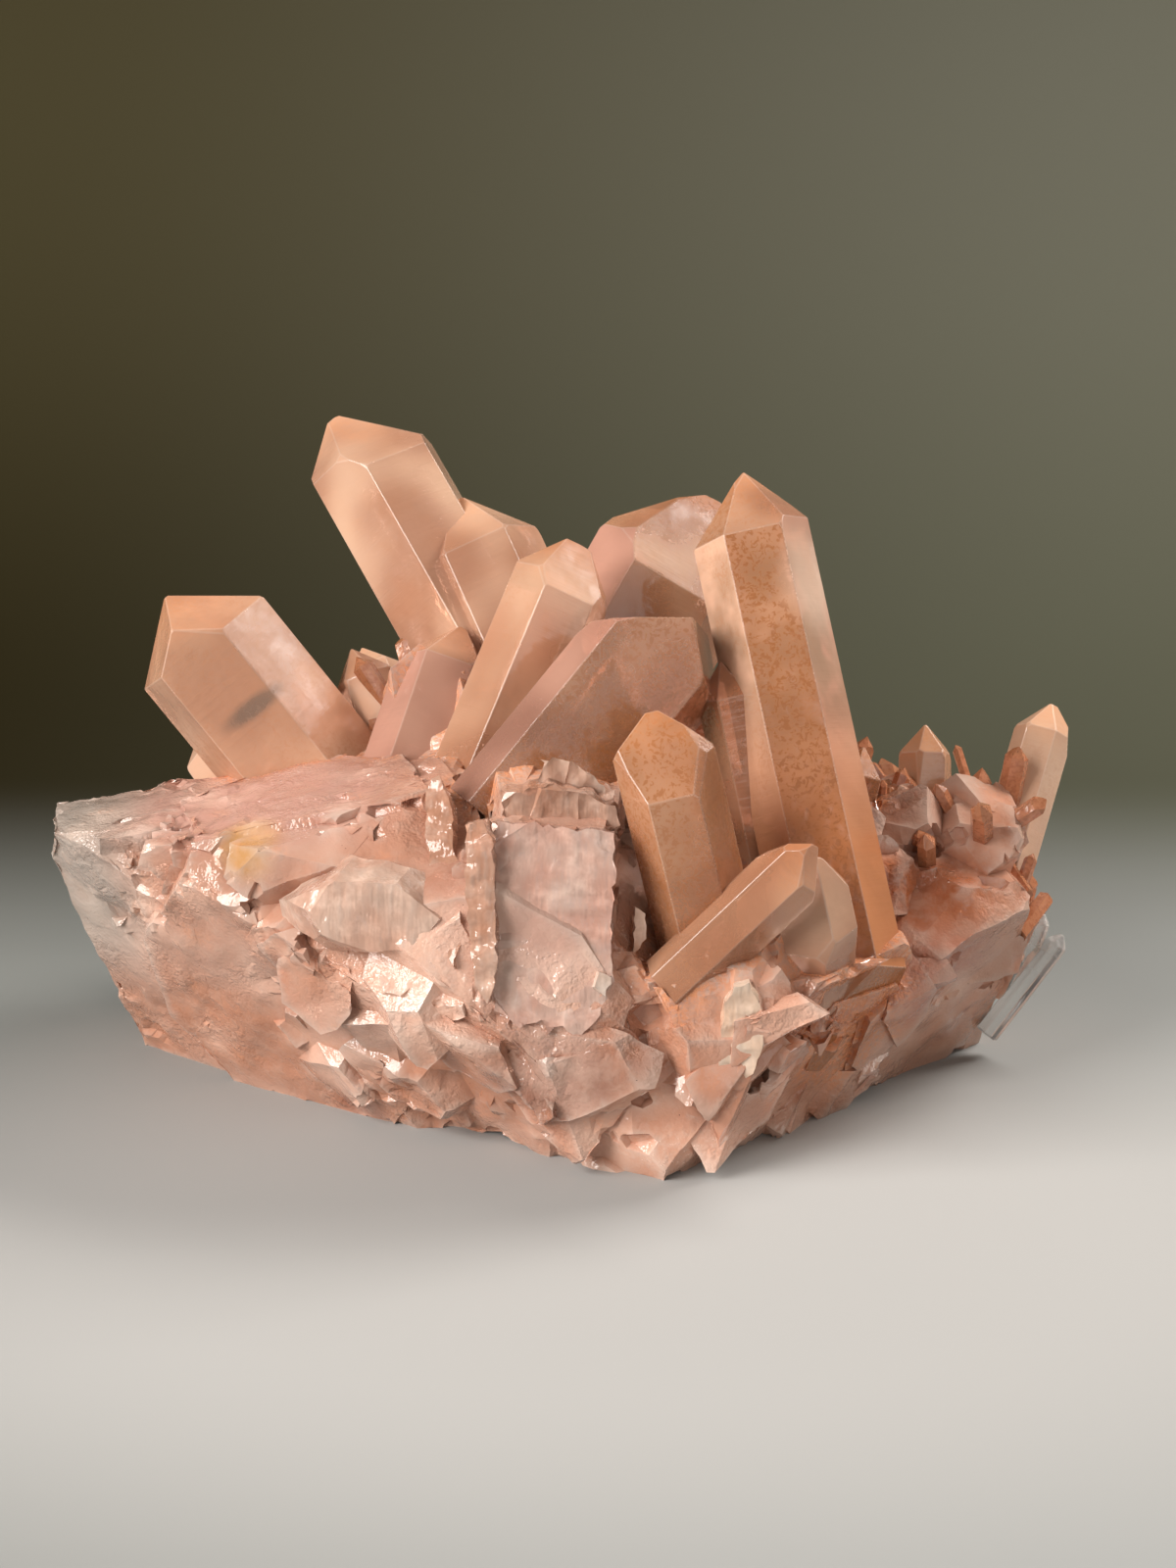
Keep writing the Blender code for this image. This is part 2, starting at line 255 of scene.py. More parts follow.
LUMPS = (
    dict(middle=(0, 5, 12), half=(42, 30, 23), faces=46),
    dict(middle=(-40, 4, 20), half=(23, 19, 26), faces=22, cuts=(LEDGE_TOP, LEDGE_BACK)),
    dict(middle=(-27, -10, 17), half=(19, 16, 24), faces=22, cuts=(LEDGE_TOP, LEDGE_BACK)),
    dict(middle=(-9, -14, 13), half=(24, 21, 23), faces=32),
    dict(middle=(-3, -24, 25), half=(7.5, 10.5, 14), faces=10,
         cuts=(((-3, -27, 35), (0.05, -0.3, 1)), ((-3, -32.5, 22), (0.1, -1, 0.1)),
               ((2.5, -28, 26), (1, -0.15, 0.05)), ((-8.6, -28, 28), (-1, -0.2, -0.2)))),
    dict(middle=(-6, -24, 14), half=(12, 9.5, 13), faces=14),
    dict(middle=(-27, -14, 29), half=(13, 9, 7), faces=14, cuts=(LEDGE_TOP,)),
    dict(middle=(-24, -17, 18), half=(11.5, 12, 12.5), faces=18, cuts=(LEDGE_TOP,)),
    dict(middle=(14.5, -29, 14), half=(3, 4.5, 6.5), faces=12),
    dict(middle=(16, -17, 6), half=(21, 19, 24), faces=26, cuts=(SHELF_TOP,)),
    dict(middle=(35, 3, 9), half=(19, 19, 19), faces=24),
    dict(middle=(25, -18, 8), half=(10, 10, 9), faces=18),
    dict(middle=(37, 4, 16), half=(12, 12, 10), faces=14, cuts=(((37, -7, 22), (-0.1, -0.85, 0.5)),)),
    dict(middle=(-5, 21, 13), half=(34, 18, 22), faces=36),
    dict(middle=(24, 18, 9), half=(20, 16, 17), faces=28),
    dict(middle=(-33, 15, 11), half=(17, 15, 17), faces=26),
    dict(middle=(-5, 3, 29), half=(22, 14, 11), faces=24),
)
OUTER_BREAKS = (
    ((-20, -18, 0), (-0.50, -0.70, -0.50)),
    ((26, -15, 0), (0.64, -0.62, -0.46)),
    ((-50, 5, 0), (-0.94, 0.0, -0.34)),
    ((-58, 0, 28), (-1.0, -0.1, 0.1)),
    ((46.5, 5, 5), (0.98, 0.0, -0.1)),
    ((0, -34.5, 8), (0.0, -1.0, 0.12)),
    ((0, 34, 0), (0.0, 0.8, -0.6)),
)
# Where the front broke cleanly, everything that stands in a region, in mm, ends at the same planes.
CLEAVED = (
    ((-65, -24, 12), (-13, 3, 50), (LEDGE_TOP, LEDGE_FRONT)),
    ((-12.5, -40, 12), (3.5, -17, 40), (SLAB_BACK,)),
    ((25, -26, 4), (50, 12, 32), (RIGHT_BREAK, RIGHT_BREAK_LOW)),
)
# How many of each break a lump has, and the range of their half sizes in mm.
FRAGMENTS_PER_LUMP = 14
FRAGMENT_HALF = (2.6, 7.5)
PITS_PER_LUMP = 2
PIT_HALF = (2.0, 5.0)
LUMP_COVER = 0.7
GOLDEN_ANGLE = math.pi * (3 - math.sqrt(5))
# A block's faces sway round it by this angle, in radians, and lie at this share of its half sizes.
FACE_SWAY = 0.35
FACE_DEPTH = (0.84, 1.0)
# How far in from a plane a block may end, in mm, and how much that end tips.
OUTER_SPREAD = 3.0
CUT_SPREAD = 0.9
CUT_TIP = 0.03
CLEAVED_SPREAD = 0.4
CLEAVED_TIP = 0.01
# Fragments and pits stand with their middle at this share of the lump's half sizes, and tip more.
SUNK = 0.93
FRAGMENT_TIP = 0.30


def stock_block(middle):
    bm = bmesh.new()
    bmesh.ops.create_cube(bm, size=STOCK)
    bmesh.ops.translate(bm, verts=bm.verts, vec=middle)
    return bm


def cut_away(bm, place, facing):
    """Takes off what lies past a plane, and closes the cut with one flat face."""
    everything = bm.verts[:] + bm.edges[:] + bm.faces[:]
    bmesh.ops.bisect_plane(bm, geom=everything, dist=1e-4, plane_co=place, plane_no=facing, clear_outer=True)
    rim = [edge for edge in bm.edges if edge.is_boundary]
    if rim:
        bmesh.ops.holes_fill(bm, edges=rim, sides=0)


def tipped(rng, facing, amount):
    facing = Vector(facing).normalized()
    return (facing + Vector([rng.uniform(-amount, amount) for _ in range(3)])).normalized()


def broken_block(rng, middle, half, faces, cuts=(), tip=0.06, cover=0.0):
    """An uneven convex lump: flat faces lie round an ellipsoid, each at its own depth. It ends at the
    planes in cuts, and no nearer than cover to the outer breaks, which tip a little for each block."""
    middle = Vector(middle)
    half = Vector(half)
    outer_breaks = []
    for place, facing in OUTER_BREAKS:
        facing = Vector(facing).normalized()
        nearest = middle - facing * (middle - Vector(place)).dot(facing)
        depth = facing * (cover + rng.uniform(0.0, OUTER_SPREAD))
        outer_breaks.append((nearest - depth, tipped(rng, facing, tip)))
    bm = stock_block(middle)
    start = rng.uniform(0, 2 * math.pi)
    for k in range(faces):
        height = 1 - 2 * (k + 0.5) / faces
        angle = start + GOLDEN_ANGLE * k + rng.uniform(-FACE_SWAY, FACE_SWAY)
        ring = math.sqrt(1 - height * height)
        way = Vector((ring * math.cos(angle), ring * math.sin(angle), height))
        depth = rng.uniform(*FACE_DEPTH)
        place = Vector((way.x * half.x, way.y * half.y, way.z * half.z)) * depth
        facing = Vector((way.x / half.x, way.y / half.y, way.z / half.z))
        cut_away(bm, middle + place, facing.normalized())
    for place, facing in cuts:
        depth = Vector(facing).normalized() * rng.uniform(0.0, CUT_SPREAD)
        cut_away(bm, Vector(place) - depth, tipped(rng, facing, CUT_TIP))
    for place, facing in outer_breaks:
        cut_away(bm, place, facing)
    for low, high, planes in CLEAVED:
        if all(low[k] < middle[k] < high[k] for k in range(3)):
            for place, facing in planes:
                depth = Vector(facing).normalized() * rng.uniform(0.0, CLEAVED_SPREAD)
                cut_away(bm, Vector(place) - depth, tipped(rng, facing, CLEAVED_TIP))
    cut_away(bm, (0, 0, 0), (0, 0, -1))
    return bm


def scattered_blocks(rng, lump, count, half_range):
    """Small broken blocks, each sunk part way into the lump's own surface."""
    for _ in range(count):
        way = Vector((rng.gauss(0, 1), rng.gauss(0, 1), rng.gauss(0, 0.8))).normalized()
        at = Vector(lump["middle"])
        at += Vector([way[k] * lump["half"][k] * SUNK for k in range(3)])
        half = [rng.uniform(*half_range) for _ in range(3)]
        yield broken_block(rng, at, half, rng.randint(9, 14), lump.get("cuts", ()), FRAGMENT_TIP)


def add_shape(into, bm):
    """Adds a finished shape to a mesh that gathers many."""
    bmesh.ops.recalc_face_normals(bm, faces=bm.faces)
    part = bpy.data.meshes.new("part")
    bm.to_mesh(part)
    bm.free()
    into.from_mesh(part)
    bpy.data.meshes.remove(part)


def planes_of(bm):
    """The facing and distance of every face of a convex shape."""
    bmesh.ops.recalc_face_normals(bm, faces=bm.faces)
    return np.array([[*face.normal, face.normal.dot(face.calc_center_median())] for face in bm.faces])


def gathered(bm, name, collection=bpy.context.scene.collection):
    """Turns a finished shape into an object."""
    bmesh.ops.recalc_face_normals(bm, faces=bm.faces)
    mesh = bpy.data.meshes.new(name)
    bm.to_mesh(mesh)
    bm.free()
    thing = bpy.data.objects.new(name, mesh)
    collection.objects.link(thing)
    return thing


def keep_outer_skin(mesh):
    """Drops everything but the largest shell, such as hollows that the breaks closed off."""
    skin = bmesh.new()
    skin.from_mesh(mesh)
    left = set(skin.faces)
    largest = []
    while left:
        shell = [left.pop()]
        for face in shell:
            for neighbour in {f for edge in face.edges for f in edge.link_faces} & left:
                left.remove(neighbour)
                shell.append(neighbour)
        largest = max(largest, shell, key=len)
    keep = set(largest)
    bmesh.ops.delete(skin, geom=[f for f in skin.faces if f not in keep], context="FACES")
    skin.to_mesh(mesh)
    skin.free()


def fused(thing, blocks, pits):
    """Joins blocks to a thing, takes pits out of it, and keeps its outer skin."""
    for shapes, operation in ((blocks, "UNION"), (pits, "DIFFERENCE")):
        helpers = bpy.data.collections.new("helpers")
        bpy.context.scene.collection.children.link(helpers)
        for shape in shapes:
            if shape.faces:
                gathered(shape, "helper", helpers)
        step = thing.modifiers.new("step", "BOOLEAN")
        step.operation = operation
        step.operand_type = "COLLECTION"
        step.collection = helpers
        step.solver = "MANIFOLD"
        depsgraph = bpy.context.evaluated_depsgraph_get()
        thing.data = bpy.data.meshes.new_from_object(thing.evaluated_get(depsgraph))
        thing.modifiers.clear()
        for helper in list(helpers.objects):
            bpy.data.objects.remove(helper, do_unlink=True)
        bpy.data.collections.remove(helpers)
    keep_outer_skin(thing.data)


FINE_CHIPS = 260
FINE_CHIP_HALF = (0.7, 2.6)
EDGE_BITES = 460
EDGE_BITE_HALF = (0.7, 2.4)
SMALL_TIP = 0.4
# Only edges that stand out by more than this angle, in radians, are bitten.
SHARP_EDGE = 0.35
# The finest surface breaks are bent out of a grid about this fine, in mm.
GRID = 1.15
# The size, depth and seed of each layer of chips. The noise takes its seed from the clock otherwise.
CHIP_LAYERS = ((2.8, 0.5, 5), (1.5, 0.25, 17))
NOISE_SEED = 5
blocks = []
pits = []
for number, lump in enumerate(LUMPS):
    rng = random.Random(100 + number)
    blocks.append(broken_block(rng, cover=LUMP_COVER, **lump))
    blocks += scattered_blocks(rng, lump, FRAGMENTS_PER_LUMP, FRAGMENT_HALF)
    pits += scattered_blocks(rng, lump, PITS_PER_LUMP, PIT_HALF)
matrix = gathered(blocks[0], "matrix")
fused(matrix, blocks[1:], pits)

# Small chips stand on its faces, and rounded bites break up its straight edges.
rng = random.Random(3)
whole = bmesh.new()
whole.from_mesh(matrix.data)
faces = whole.faces[:]
chips = []
for face in rng.choices(faces, [face.calc_area() for face in faces], k=FINE_CHIPS):
    shares = [rng.random() for _ in face.verts]
    at = sum((vert.co * share for vert, share in zip(face.verts, shares)), Vector()) / sum(shares)
    half = Vector([rng.uniform(*FINE_CHIP_HALF) for _ in range(3)])
    at -= face.normal * half.length * 0.42
    chips.append(broken_block(rng, at, half, rng.randint(8, 13), (), SMALL_TIP))
edges = [edge for edge in whole.edges if edge.calc_face_angle_signed(0) > SHARP_EDGE]
bites = []
for edge in rng.choices(edges, [edge.calc_length() for edge in edges], k=EDGE_BITES):
    outward = (edge.link_faces[0].normal + edge.link_faces[1].normal).normalized()
    half = Vector([rng.uniform(*EDGE_BITE_HALF) for _ in range(3)])
    at = edge.verts[0].co.lerp(edge.verts[1].co, rng.random())
    at += outward * half.length * rng.uniform(0.25, 0.5)
    bites.append(broken_block(rng, at, half, rng.randint(14, 22), (), SMALL_TIP))
whole.free()
fused(matrix, chips, bites)


def read_table(items, key, width, kind=float):
    """One row of numbers for each of a mesh's items."""
    flat = np.empty(len(items) * width, kind)
    items.foreach_get(key, flat)
    return flat.reshape(-1, width)


def points_of(mesh):
    return read_table(mesh.vertices, "co", 3)


def normals_of(mesh):
    return read_table(mesh.vertex_normals, "vector", 3)


def evened(values, edges, rounds):
    """Each point's value averaged with its neighbours', a number of times over."""
    ends = np.concatenate([edges[:, 0], edges[:, 1]])
    others = np.concatenate([edges[:, 1], edges[:, 0]])
    count = np.bincount(ends, minlength=len(values))[:, None]
    for _ in range(rounds):
        totals = [np.bincount(ends, column[others], len(values)) for column in values.T]
        values = (values + np.stack(totals, 1)) / (1 + count)
    return values


def chip(points, normals, size, depth, seed, calm=0.35):
    """Breaks patches of the surface into flat chips: every cell of a random pattern tilts its own way.
    The higher calm is, the more of the surface stays whole."""
    lift = np.empty(len(points))
    offset = Vector((seed, seed * 2, seed * 3))
    for k, point in enumerate(points):
        at = Vector(point) / size + offset
        at += noise.noise_vector(at * 0.9) * 0.3
        centre = noise.voronoi(at)[1][0]
        tilt = noise.cell_vector(centre * 37) * 2 - Vector((1, 1, 1))
        share = max(0.0, min(1.0, (noise.noise(Vector(point) / 9 + offset) - calm + 0.25) * 3))
        lift[k] = (at - centre).dot(tilt) * depth * share
    return points + normals * lift[:, None]


def subdivided(bm, longest, rounds=6):
    """Splits flat faces until few edges are longer than this, so that they can be bent and coloured."""
    bmesh.ops.triangulate(bm, faces=bm.faces)
    for _ in range(rounds):
        long = [edge for edge in bm.edges if edge.calc_length() > longest]
        bmesh.ops.subdivide_edges(bm, edges=long, cuts=1)
        bmesh.ops.triangulate(bm, faces=[face for face in bm.faces if len(face.verts) > 3])


skin = bmesh.new()
skin.from_mesh(matrix.data)
subdivided(skin, GRID)
for vert in skin.verts:
    bend = noise.noise(vert.co / 6.0) * 0.5 + noise.noise(vert.co / 2.2 + Vector((9, 0, 0))) * 0.22
    vert.co += vert.normal * bend
skin.to_mesh(matrix.data)
skin.free()
edges = read_table(matrix.data.edges, "vertices", 2, int)
points = points_of(matrix.data)
noise.seed_set(NOISE_SEED)
for size, depth, seed in CHIP_LAYERS:
    points = chip(points, normals_of(matrix.data), size, depth, seed)


# Quartz points: 27 six-sided crystals, each with six flat prism faces and a pointed end. They grew
# out of the matrix at their own angles. Iron oxide stains their surface and the tips most.
END_FACE_ANGLE = 51.8
ROOT = 5.0
ROOT_COVER = 2.0
# A look gives the iron speckle, the lilac tone (the face's own lilac where it lacks iron, with a painted
# sheen of the window light), paleness, smoky middle and stained foot of the whole point, each 0 to 1. A face
# that differs has its own.
LOOKS = ("iron", "lilac", "pale", "smoke", "foot")
POINTS = {
    "tall_right": dict(
        foot=(27.5, -20, 11.5), tip=(15.6, 0, 64.8), flats=(5.4, 5.2, 5.2, 5.4, 5.4, 5.4),
        turn=2, rises=(0.2, 0.8, 1.2, 0.6, 0, 0.2),
        look=dict(iron=0.75, lilac=0.1, pale=0.25, smoke=1, foot=1),
        faces={0: dict(iron=1, pale=0.5), 1: dict(iron=0.15, lilac=0.6, pale=0.7), 5: dict(iron=0.5, pale=1),
               6: dict(iron=0.5, pale=0.2), 7: dict(iron=0.4, lilac=0.2, pale=0.3)}),
    "tall_back_left": dict(
        foot=(-6, 11.5, 33), tip=(-27.5, 30, 67), flats=(6.6,) * 6,
        turn=-27, rises=(2, -0.6, 1.5, 2, 2, 3), look=dict(iron=0.15, lilac=0.1, pale=0.35)),
    "beside_back_left": dict(
        foot=(-2, 9, 35), tip=(-14, 22, 59), flats=(5.4, 5.2, 5.6, 5.4, 5.2, 6.4),
        turn=6, rises=(0, 0, 0, 0, 1.5, 1.5), look=dict(iron=0.2, lilac=0.1, pale=0.3)),
    "leaning_middle": dict(
        foot=(-11.5, -5, 33), tip=(-1, 5, 56.8), flats=(5, 5, 4.8, 5, 4.6, 4.8),
        turn=8, rises=(0, 1.5, 1.2, 0, 1.5, 1.5), look=dict(iron=0.35, lilac=0.1, pale=0.2)),
    "broad_back": dict(
        foot=(-1.6, 12, 33), tip=(14.6, 24, 59.8), flats=(8, 8.4, 8, 8, 8, 8.2),
        turn=-2, rises=(-3.6, 1, 2, 2, 1, 0), look=dict(iron=0.5, pale=0.05),
        faces={5: dict(iron=0.1, lilac=1, pale=0.3)}),
    "small_front": dict(
        foot=(11.8, -24, 24), tip=(6.4, -26, 47), flats=(4.4, 4.1, 4, 4.4, 4.6, 4.6),
        turn=0, rises=(-3, -0.5, -0.5, 0.3, 0.8, 1.6), look=dict(iron=0.75),
        faces={6: dict(iron=0.9, pale=0.1)}),
    "leaning_front": dict(
        foot=(11.5, -29, 22.5), tip=(22, -29.5, 33.2), flats=(3,) * 6,
        turn=-20, rises=(3, 1, 0, 0, 0, 2), look=dict(iron=0.45, lilac=0.05, pale=0.15)),
    "broad_left": dict(
        foot=(-26.9, 5, 27.5), tip=(-45.3, 7, 50.8), flats=(7.2,) * 6,
        turn=0, rises=(7, 0, 0, 3, 0, 0), end=42, look=dict(iron=0.5, pale=0.45)),
    "small_back_left": dict(
        foot=(-21.5, 8, 34.5), tip=(-25.9, 12, 44), flats=(2.9,) * 6, look=dict(iron=0.1, pale=0.7)),
    "lilac_left": dict(
        foot=(-17.7, 2, 36.5), tip=(-14, 10, 46.8), flats=(4.5,) * 6, rises=(0, 1, 2, 1, 0, 0),
        look=dict(iron=0.35, lilac=0.35, pale=0.05),
        faces={0: dict(iron=0.1, lilac=0.8, pale=0.1), 5: dict(iron=0.05, lilac=1, pale=0.1)}),
    "right_upright": dict(
        foot=(36.6, 5.5, 22), tip=(36.9, 10, 36), flats=(2.6,) * 6, turn=10, look=dict(iron=0.5, pale=0.2)),
    "right_leaning": dict(
        foot=(44.4, 3.5, 18.5), tip=(51, 12, 37.9), flats=(2.8,) * 6,
        turn=-20, rises=(0, 0, 1, 1, 0, 0), look=dict(iron=0.3, pale=0.6)),
    "clear_right_upper": dict(foot=(46.5, 3, 7), tip=(49.8, 4, 16.3), flats=(1,) * 6, look=dict(pale=1)),
    "clear_right_lower": dict(
        foot=(46.8, 3.5, 6.5), tip=(52.1, 4, 13.9), flats=(1.2,) * 6, look=dict(pale=1)),
    "broken_front": dict(
        foot=(22, -22, 17), tip=(22, -28, 33), flats=(4.2, 4, 4, 4, 4, 4), turn=-12,
        rises=(-5, -4, -1, 0, 0, -2), look=dict(iron=0.15, lilac=0.2, pale=0.2)),
    "dark_behind_tall": dict(
        foot=(26, -2, 22), tip=(29.5, 2, 35.5), flats=(2.6,) * 6, turn=20, look=dict(iron=1)),
    "stub_right_a": dict(
        foot=(32.5, 2, 20), tip=(32.5, 3, 31), flats=(2.2,) * 6, turn=15, look=dict(iron=0.9)),
    "stub_right_b": dict(
        foot=(41, 4, 20), tip=(42, 5, 31.5), flats=(2.3,) * 6, turn=-10, look=dict(iron=0.8, pale=0.1)),
    "behind_small_front": dict(
        foot=(18, -10, 26), tip=(13.5, -8, 47), flats=(2.8,) * 6, turn=10,
        look=dict(iron=0.6, lilac=0.1, pale=0.1)),
    "back_a": dict(
        foot=(-18, 24, 22), tip=(-27, 40, 38), flats=(3.6,) * 6, turn=12,
        look=dict(iron=0.2, lilac=0.1, pale=0.4)),
    "back_b": dict(
        foot=(-2, 26, 24), tip=(-4, 42, 41), flats=(4.4,) * 6, turn=40,
        rises=(0, 1, 0, 1.5, 0, 1), look=dict(iron=0.35, lilac=0.2, pale=0.2)),
    "back_c": dict(
        foot=(10, 28, 22), tip=(17, 43, 35), flats=(3.4,) * 6, turn=5,
        look=dict(iron=0.5, lilac=0.1, pale=0.2)),
    "back_d": dict(
        foot=(24, 20, 18), tip=(31, 34, 26), flats=(3.8,) * 6, turn=25,
        rises=(0, 1, 1, 0, 1, 0), look=dict(iron=0.3, lilac=0.1, pale=0.3)),
    "back_e": dict(
        foot=(-34, 16, 20), tip=(-45, 29, 31), flats=(4,) * 6, turn=-15,
        look=dict(iron=0.15, lilac=0.2, pale=0.4)),
    "back_f": dict(
        foot=(2, 30, 14), tip=(3, 45, 20), flats=(2.6,) * 6, turn=30,
        look=dict(iron=0.4, lilac=0.1, pale=0.2)),
    "back_g": dict(
        foot=(-26, 26, 12), tip=(-32, 40, 17), flats=(2.8,) * 6, look=dict(iron=0.2, lilac=0.1, pale=0.5)),
    "flat_middle": dict(
        foot=(-6, -14, 35), tip=(14, -6, 58.2), flats=(4.5, 7.6, 9.6, 7, 5, 6.2), rises=(9,) * 6,
        cuts=(((6.5, -12, 52.2), (-0.02, 0.35, 0.94)), ((12.4, -10, 44.5), (0.97, -0.1, 0.2))),
        look=dict(iron=0.9, lilac=0.1),
        faces={5: dict(iron=0.1, lilac=0.9, pale=0.1), 12: dict(iron=0.9, lilac=0.2),
               13: dict(iron=0.6, lilac=0.1, pale=0.1)}),
}
EDGE_WEAR = 0.11
NICKS = 5
NICK_DEPTH = (0.10, 0.35)
# Corners closer together than this are one corner, in mm.
CORNER_MERGE = 0.15
# Each face's growth lines start this far on from the last face's, in mm.
FACES_APART = 40


def quartz_point(foot, tip, flats, turn=0, rises=(0,) * 6, end=END_FACE_ANGLE, cuts=()):
    """Cuts a point from its stock and numbers its faces: prism 0 to 5, ends 6 to 11, cuts, root."""
    foot = Vector(foot)
    tip = Vector(tip)
    axis = (tip - foot).normalized()
    front = Vector((0, -1, 0))
    front = (front - axis * front.dot(axis)).normalized()
    side = axis.cross(-front).normalized()
    if side.x < 0:
        side = -side
    bm = stock_block(foot)
    number = bm.faces.layers.int.new("number")
    facings = []
    ends = []
    for k in range(6):
        angle = math.radians(60 * k + turn)
        out = math.cos(angle) * front + math.sin(angle) * side
        facings.append((foot + out * flats[k], out))
        lean = out * math.sin(math.radians(end)) + axis * math.cos(math.radians(end))
        ends.append((tip + axis * rises[k], lean))
    facings += ends
    facings += [(Vector(place), Vector(facing).normalized()) for place, facing in cuts]
    facings.append((foot - axis * ROOT, -axis))
    for place, facing in facings:
        cut_away(bm, place, facing)
    bmesh.ops.recalc_face_normals(bm, faces=bm.faces)
    bm.normal_update()
    for face in bm.faces:
        face[number] = max(range(len(facings)), key=lambda k: face.normal.dot(facings[k][1]))
    return bm, axis


def add_point(name, look, faces={}, **shape):
    """One finished point with worn edges, nicked corners, its growth lines and the look of each face."""
    bm, axis = quartz_point(**shape)
    for place, facing in OUTER_BREAKS:
        facing = Vector(facing).normalized()
        if (Vector(shape["tip"]) - Vector(place)).dot(facing) < -2 * ROOT_COVER:
            cut_away(bm, Vector(place) - facing * ROOT_COVER, facing)
    inside = planes_of(bm)
    rng = random.Random(name)
    number = bm.faces.layers.int["number"]
    middle = sum((v.co for v in bm.verts), Vector()) / len(bm.verts)
    corners = [v for v in bm.verts if v.co.dot(axis) > middle.dot(axis)]
    nicked = rng.sample(corners, min(NICKS, len(corners)))
    for corner, outward in [(v.co.copy(), v.normal.copy()) for v in nicked]:
        cut_away(bm, corner - outward * rng.uniform(*NICK_DEPTH), tipped(rng, outward, 0.25))
    bmesh.ops.recalc_face_normals(bm, faces=bm.faces)
    bmesh.ops.remove_doubles(bm, verts=bm.verts, dist=CORNER_MERGE)
    bmesh.ops.dissolve_degenerate(bm, dist=CORNER_MERGE, edges=bm.edges)
    worn = bm.faces.layers.float.new("worn")
    rounded = bmesh.ops.bevel(
        bm, geom=bm.edges[:], offset=EDGE_WEAR, offset_type="OFFSET", segments=2, profile=0.5,
        affect="EDGES", clamp_overlap=True, material=-1)
    for face in rounded["faces"]:
        face[worn] = 1
    layers = {key: bm.faces.layers.float.new(key) for key in LOOKS}
    growth = bm.loops.layers.uv.new("growth")
    tip = Vector(shape["tip"])
    for face in bm.faces:
        for key, layer in layers.items():
            face[layer] = faces.get(face[number], {}).get(key, look.get(key, 0))
        across = axis.cross(face.normal).normalized()
        for loop in face.loops:
            offset = loop.vert.co - tip
            loop[growth].uv = (offset.dot(across) + FACES_APART * face[number], -offset.dot(axis))
    bmesh.ops.translate(bm, verts=bm.verts, vec=CENTRE_SHIFT)
    bmesh.ops.scale(bm, verts=bm.verts, vec=(MM, MM, MM))
    bmesh.ops.recalc_face_normals(bm, faces=bm.faces)
    return gathered(bm, "point_" + name), inside


def attribute(place, name):
    return place.node("ShaderNodeAttribute", {"attribute_name": name}, {}, 2)


QUARTZ_IOR = 1.544
DEPTH_DENSITY = 22


def output_of(material):
    return next(node for node in material.node_tree.nodes if node.type == "OUTPUT_MATERIAL")


def add_depth(material, colour):
    """Tints the light on its way through."""
    tree = material.node_tree
    absorption = tree.nodes.new("ShaderNodeVolumeAbsorption")
    absorption.inputs["Color"].default_value = (*colour, 1)
    absorption.inputs["Density"].default_value = DEPTH_DENSITY
    tree.links.new(absorption.outputs[0], output_of(material).inputs["Volume"])


def finish_quartz(material, glass, milk, colour, rough, bump, clear=0.4):
    """Quartz shows two things at once: clear glassy depth, and milk or stain that scatters light."""
    tree = material.node_tree
    scatter = tree.nodes.new("ShaderNodeBsdfPrincipled")
    for shader in (glass, scatter):
        shader.inputs["IOR"].default_value = QUARTZ_IOR
        feed(shader, Roughness=rough, Normal=bump)
    glass.inputs["Transmission Weight"].default_value = 1.0
    thinned = {0: clear, 6: colour, 7: (1, 1, 1, 1)}
    feed(glass, Base_Color=colour.node("ShaderNodeMix", {"data_type": "RGBA"}, thinned, 2))
    feed(scatter, Base_Color=colour)
    halves = {0: milk, 1: Tone(glass.outputs[0]), 2: Tone(scatter.outputs[0])}
    both = milk.node("ShaderNodeMixShader", {}, halves)
    tree.links.new(both.socket, output_of(material).inputs["Surface"])


PEACH = (0.84, 0.34, 0.17)
CREAM = (0.90, 0.57, 0.37)
LILAC_AND_PAINTED_SHEEN = (0.74, 0.37, 0.28)
WHITE = (0.93, 0.79, 0.69)
OCHRE = (0.60, 0.20, 0.055)
BROWN = (0.30, 0.105, 0.032)
RUST = (0.33, 0.085, 0.03)
SMOKE = (0.42, 0.29, 0.19)
PAINTED_GLOW_PEACH = (0.97, 0.70, 0.54)
CLEAR = (0.97, 0.95, 0.92)
# The dark flat break inside the broad left point: its middle, its turn, its half sizes and its tone.
FRACTURE_AT = (-32.5, -6.0, 40.4)
FRACTURE_TURN = (0, math.radians(-38), 0)
FRACTURE_HALF = (5.2, 3, 1.5)
FRACTURE_GREY = (0.30, 0.21, 0.16)
# A painted glow of the light behind shining through the right side near the tip of the tall point: its
# middle and its half sizes.
PAINTED_GLOW_AT = (24.9, -11.3, 54.5)
PAINTED_GLOW_HALF = (5, 6, 8)


def near(place, centre, size):
    """1 at a place on the cluster, fading to 0 at its half sizes away from it, in mm."""
    offset = place.along("SUBTRACT", centre).along("DIVIDE", size)
    return 1 - offset.along("LENGTH", (0, 0, 0), 1).between(0.35, 1.0)


